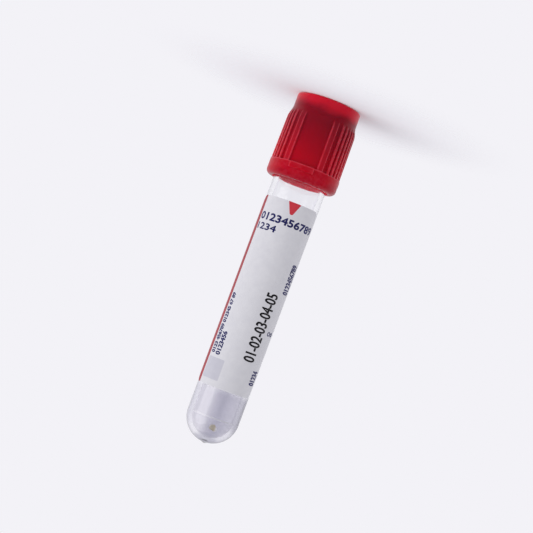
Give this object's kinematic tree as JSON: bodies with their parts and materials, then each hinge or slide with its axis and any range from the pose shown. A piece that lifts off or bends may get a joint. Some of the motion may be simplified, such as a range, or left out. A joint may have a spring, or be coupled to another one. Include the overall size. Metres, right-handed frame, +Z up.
{
  "type": "blood collection tube",
  "caption": "Clear round-ended blood collection tube with a wrapped label, closed by a rubber stopper inside a ribbed red pull-off shield.",
  "frame": {"origin": "centre of the closure's flat top, which rests on the floor", "axes": "+Z up along the tube's axis, from the closure to the round end; -Y faces the middle of the label"},
  "size_m": [0.0174, 0.0178, 0.0851],
  "materials": {
    "clear_wall": "clear gloss",
    "label_film": "satin printed film",
    "stopper_rubber": "satin",
    "shield_plastic": "satin"
  },
  "bodies": {
    "cover": {"shield": "shield_plastic"},
    "plug": {"stopper": "stopper_rubber"},
    "vessel": {"tube": "clear_wall", "label": "label_film"}
  },
  "joints": [
    {"name": "closure_twist", "type": "hinge", "parent": "cover", "child": "plug", "pos_m": [0, 0, 0.0101], "axis": [0, 0, 1], "continuous": true},
    {"name": "closure_pull", "type": "slide", "parent": "plug", "child": "vessel", "axis": [0, 0, 1], "range_m": [0, 0.025]}
  ]
}
